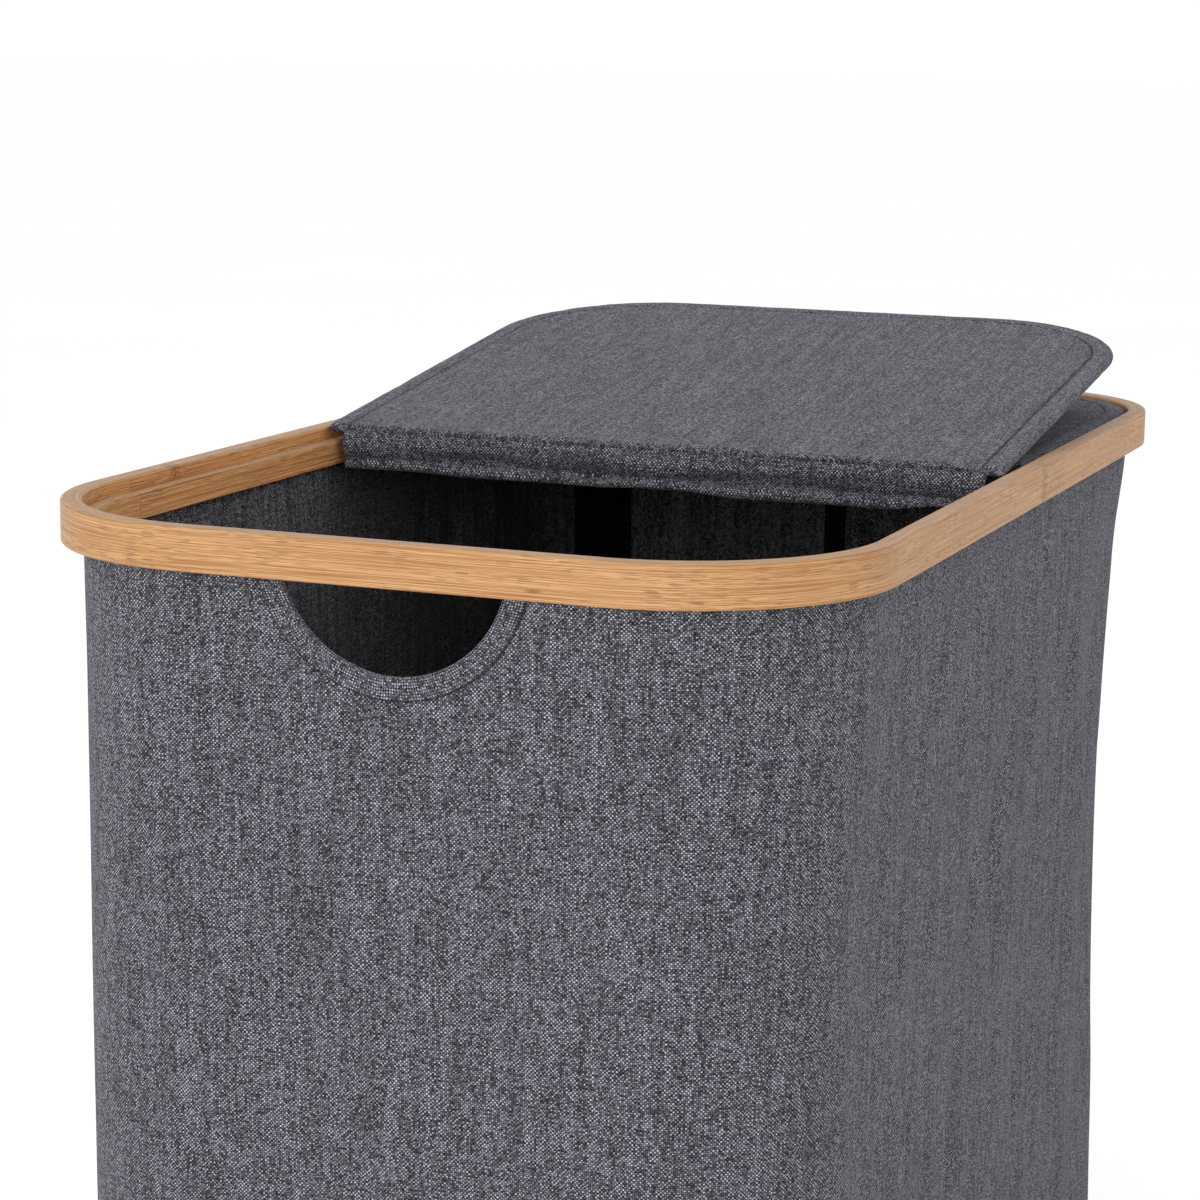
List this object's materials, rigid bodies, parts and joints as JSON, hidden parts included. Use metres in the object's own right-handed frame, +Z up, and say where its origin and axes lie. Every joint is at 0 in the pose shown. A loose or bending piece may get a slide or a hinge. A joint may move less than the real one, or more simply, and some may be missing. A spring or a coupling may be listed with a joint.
{
  "type": "hamper",
  "caption": "Tall rectangular laundry hamper with rounded corners: a fabric bag hung from a bent wood rim, hand holes in the short walls and a folding padded lid in the rim.",
  "frame": {"origin": "On the floor, under the middle of the rim", "axes": "+Z up, +Y towards the rear end, where the folded lid rests, +X to the right seen from the front"},
  "size_m": [0.34, 0.6, 0.6397],
  "materials": {
    "bamboo": "Bent bamboo strip with a clear matt lacquer",
    "cloth": "Dark slate melange weave, matt",
    "lining": "Darker melange weave, matt",
    "tape": "Black woven tape and sleeve cloth, matt",
    "board": "Pressed fibre board, raw",
    "poles": "Drawn steel tube",
    "brads": "Plain steel wire",
    "caps": "Moulded black plastic, fine texture"
  },
  "bodies": {
    "hamper": {"bag_bottom_panel": "cloth", "bag_lining": "lining", "bag_outer_shell": "cloth", "base_insert": "lining", "front_handle_facing": "cloth", "front_left_pole_cap_lower": "caps", "front_left_pole_cap_upper": "caps", "front_left_pole_sleeve": "tape", "front_left_support_pole": "poles", "front_right_pole_cap_lower": "caps", "front_right_pole_cap_upper": "caps", "front_right_pole_sleeve": "tape", "front_right_support_pole": "poles", "hem_brad_1": "brads", "hem_brad_10": "brads", "hem_brad_2": "brads", "hem_brad_3": "brads", "hem_brad_4": "brads", "hem_brad_5": "brads", "hem_brad_6": "brads", "hem_brad_7": "brads", "hem_brad_8": "brads", "hem_brad_9": "brads", "lining_floor": "lining", "rear_handle_facing": "cloth", "rear_left_pole_cap_lower": "caps", "rear_left_pole_cap_upper": "caps", "rear_left_pole_sleeve": "tape", "rear_left_support_pole": "poles", "rear_right_pole_cap_lower": "caps", "rear_right_pole_cap_upper": "caps", "rear_right_pole_sleeve": "tape", "rear_right_support_pole": "poles", "rear_seam_tape": "tape", "rim_ledge_hoop": "bamboo", "rim_outer_hoop": "bamboo"},
    "lid_rear": {"lid_rear_board": "board", "lid_rear_edge_band": "cloth", "lid_rear_lower_cover": "cloth", "lid_rear_upper_cover": "cloth", "lid_hinge_cloth": "cloth"},
    "lid_front": {"lid_front_board": "board", "lid_front_edge_band": "cloth", "lid_front_lower_cover": "cloth", "lid_front_upper_cover": "cloth"}
  },
  "joints": [
    {"name": "lid_lift", "type": "slide", "parent": "hamper", "child": "lid_rear", "axis": [0, 0, 1], "range_m": [0, 0.25]},
    {"name": "lid_fold", "type": "hinge", "parent": "lid_rear", "child": "lid_front", "pos_m": [0, -0.01557, 0.59839], "axis": [1, 0, 0], "range_deg": [0, 172.2], "deforming": ["lid_hinge_cloth"]}
  ]
}
